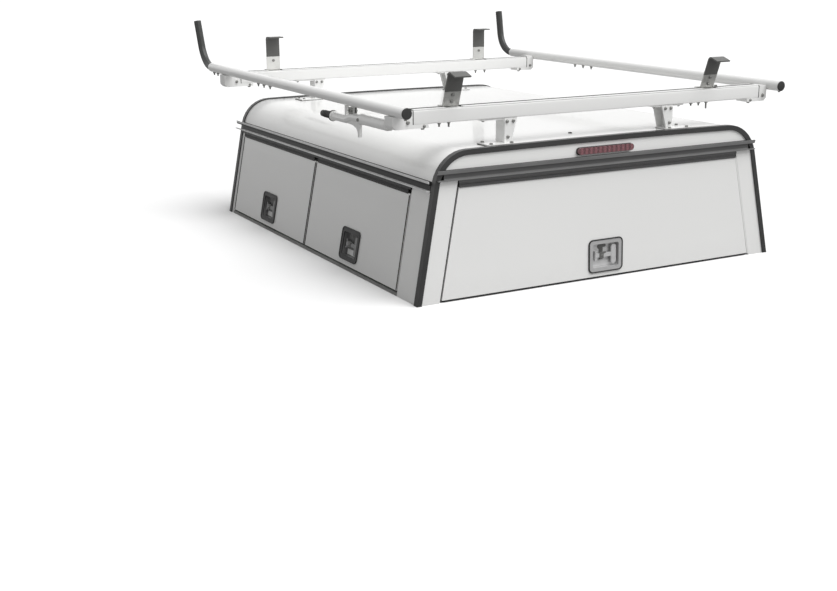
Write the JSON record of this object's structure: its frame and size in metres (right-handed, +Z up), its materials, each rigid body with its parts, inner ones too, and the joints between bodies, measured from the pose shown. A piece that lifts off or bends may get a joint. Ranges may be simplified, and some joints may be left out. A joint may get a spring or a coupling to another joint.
{
  "type": "pickup truck canopy",
  "caption": "Lift-up canopy for a pickup bed: a ribless shell with side and rear doors hinged at their tops, folding lock handles and a ladder rack on its roof.",
  "frame": {"origin": "middle of the footprint at the base, where the canopy stands on the bed rails", "axes": "+Y towards the front of the truck, +X to its right, +Z up"},
  "size_m": [1.721, 2.1375, 0.888],
  "materials": {
    "white_paint": "gloss white powder coat",
    "black_extrusion": "satin black coated aluminium extrusion",
    "black_plastic": "moulded black plastic",
    "lock_steel": "pressed steel",
    "bare_aluminium": "mill finish",
    "red_lens": "clear red lens",
    "tinted_glass": "dark tinted glass"
  },
  "bodies": {
    "shell": {"brake_light": "red_lens", "front_bar_strip": "black_plastic", "front_bead": "black_extrusion", "front_bow": "bare_aluminium", "front_crossbar": "white_paint", "front_wall": "white_paint", "front_window": "tinted_glass", "left_base_rail": "white_paint", "left_front_foot": "white_paint", "left_front_post": "white_paint", "left_front_stop": "bare_aluminium", "left_horn": "black_extrusion", "left_mullion": "white_paint", "left_rear_foot": "white_paint", "left_rear_post": "white_paint", "left_rear_stop": "bare_aluminium", "left_side_rail": "black_extrusion", "left_tube": "white_paint", "rack_grip": "black_plastic", "rack_latch": "white_paint", "rear_bar_strip": "black_plastic", "rear_bead": "black_extrusion", "rear_bow": "bare_aluminium", "rear_crossbar": "white_paint", "rear_header": "white_paint", "rear_rail": "black_extrusion", "right_base_rail": "white_paint", "right_front_foot": "white_paint", "right_front_post": "white_paint", "right_front_stop": "bare_aluminium", "right_horn": "black_extrusion", "right_mullion": "white_paint", "right_rear_foot": "white_paint", "right_rear_post": "white_paint", "right_rear_stop": "bare_aluminium", "right_side_rail": "black_extrusion", "right_tube": "white_paint", "roof_skin": "white_paint"},
    "rear_door": {"rear_door": "white_paint", "rear_door_leaf": "black_extrusion", "rear_door_lock": "lock_steel"},
    "rear_door_handle": {"rear_door_handle": "black_plastic"},
    "right_rear_door": {"right_rear_door": "white_paint", "right_rear_door_leaf": "black_extrusion", "right_rear_door_lock": "lock_steel"},
    "right_rear_door_handle": {"right_rear_door_handle": "black_plastic"},
    "right_front_door": {"right_front_door": "white_paint", "right_front_door_leaf": "black_extrusion", "right_front_door_lock": "lock_steel"},
    "right_front_door_handle": {"right_front_door_handle": "black_plastic"},
    "left_rear_door": {"left_rear_door": "white_paint", "left_rear_door_leaf": "black_extrusion", "left_rear_door_lock": "lock_steel"},
    "left_rear_door_handle": {"left_rear_door_handle": "black_plastic"},
    "left_front_door": {"left_front_door": "white_paint", "left_front_door_leaf": "black_extrusion", "left_front_door_lock": "lock_steel"},
    "left_front_door_handle": {"left_front_door_handle": "black_plastic"}
  },
  "joints": [
    {"name": "rear_door_hinge", "type": "hinge", "parent": "shell", "child": "rear_door", "pos_m": [0, -1.04497, 0.41254], "axis": [-1, 0, 0], "range_deg": [0, 85]},
    {"name": "rear_door_handle_fold", "type": "hinge", "parent": "rear_door", "child": "rear_door_handle", "pos_m": [-0.04, -1.05258, 0.08556], "axis": [0, -0.0447, -0.999], "range_deg": [0, 90]},
    {"name": "right_rear_door_hinge", "type": "hinge", "parent": "shell", "child": "right_rear_door", "pos_m": [0.72757, -0.48041, 0.37203], "axis": [0, -1, 0], "range_deg": [0, 85]},
    {"name": "right_rear_door_handle_fold", "type": "hinge", "parent": "right_rear_door", "child": "right_rear_door_handle", "pos_m": [0.77554, -0.52041, 0.09649], "axis": [0.1961, 0, -0.9806], "range_deg": [0, 90]},
    {"name": "right_front_door_hinge", "type": "hinge", "parent": "shell", "child": "right_front_door", "pos_m": [0.72757, 0.36359, 0.37203], "axis": [0, -1, 0], "range_deg": [0, 85]},
    {"name": "right_front_door_handle_fold", "type": "hinge", "parent": "right_front_door", "child": "right_front_door_handle", "pos_m": [0.77554, 0.32359, 0.09649], "axis": [0.1961, 0, -0.9806], "range_deg": [0, 90]},
    {"name": "left_rear_door_hinge", "type": "hinge", "parent": "shell", "child": "left_rear_door", "pos_m": [-0.72757, -0.48041, 0.37203], "axis": [0, 1, 0], "range_deg": [0, 85]},
    {"name": "left_rear_door_handle_fold", "type": "hinge", "parent": "left_rear_door", "child": "left_rear_door_handle", "pos_m": [-0.77554, -0.44041, 0.09649], "axis": [-0.1961, 0, -0.9806], "range_deg": [0, 90]},
    {"name": "left_front_door_hinge", "type": "hinge", "parent": "shell", "child": "left_front_door", "pos_m": [-0.72757, 0.36359, 0.37203], "axis": [0, 1, 0], "range_deg": [0, 85]},
    {"name": "left_front_door_handle_fold", "type": "hinge", "parent": "left_front_door", "child": "left_front_door_handle", "pos_m": [-0.77554, 0.40359, 0.09649], "axis": [-0.1961, 0, -0.9806], "range_deg": [0, 90]}
  ]
}
